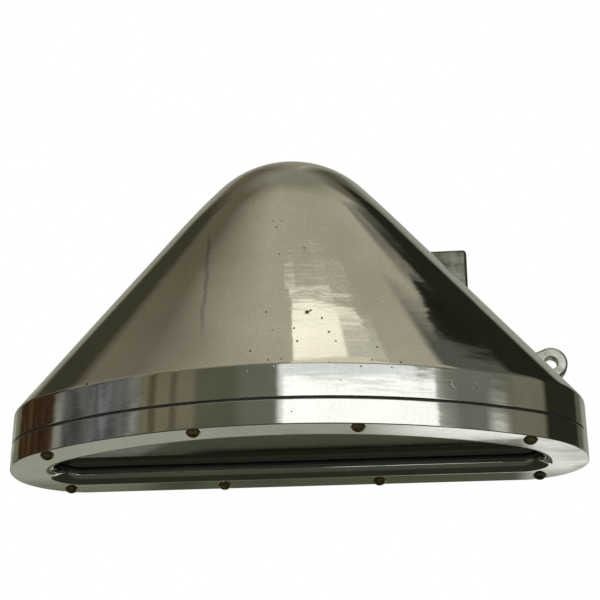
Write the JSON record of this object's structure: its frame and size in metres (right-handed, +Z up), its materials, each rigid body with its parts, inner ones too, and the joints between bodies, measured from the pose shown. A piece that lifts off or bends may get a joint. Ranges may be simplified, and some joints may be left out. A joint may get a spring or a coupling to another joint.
{
  "type": "deck light",
  "caption": "Wall-mounted downlight: cone-shaped polished cast hood with a flat back, screwed lens frame with flat glass, cast ears, cable boss with gland, screw-base lamp inside.",
  "frame": {"origin": "on the wall plane, midway between the two ear holes", "axes": "+X across to the side with the cable boss, +Y into the wall, +Z up; the light shines towards -Z and its front faces -Y"},
  "size_m": [0.4, 0.165, 0.2242],
  "materials": {
    "cast_aluminium": "polished casting, lightly pitted",
    "gasket_rubber": "matte",
    "brass": "aged, dull",
    "clear_glass": "clear",
    "stainless": "brushed",
    "porcelain": "glazed",
    "lamp_cap_metal": "satin",
    "black_glass": "gloss",
    "solder": "dull",
    "bulb_glass": "clear",
    "tungsten": "dull",
    "tinned_copper": "satin",
    "lead_black": "matte",
    "lead_white": "matte",
    "lead_green": "matte"
  },
  "bodies": {
    "fixture": {"housing": "cast_aluminium", "lens_frame": "cast_aluminium", "frame_gasket": "gasket_rubber", "frame_screws": "brass", "lens_glass": "clear_glass", "glass_gasket": "gasket_rubber", "glass_clips": "stainless", "clip_screws": "stainless", "lamp_bracket": "stainless", "bracket_screws": "brass", "holder_body": "porcelain", "holder_shell": "brass", "holder_contact": "brass", "holder_screws": "brass", "holder_terminal_screws": "brass", "terminal_block": "porcelain", "block_screws": "brass", "pole_screws": "brass", "earth_lug": "tinned_copper", "earth_screw": "brass", "lead_live": "lead_black", "lead_neutral": "lead_white", "lead_earth": "lead_green", "gland_washers": "brass", "gland_packing": "gasket_rubber", "gland_screw": "brass"},
    "lamp": {"lamp_cap": "lamp_cap_metal", "lamp_insulator": "black_glass", "lamp_tip": "solder", "lamp_bulb": "bulb_glass", "lamp_stem": "bulb_glass", "lamp_filament": "tungsten"}
  },
  "joints": [
    {"name": "lamp_turn", "type": "hinge", "parent": "fixture", "child": "lamp", "pos_m": [0, -0.072, 0.056], "axis": [0, 0, -1], "range_deg": [0, 1980]}
  ]
}
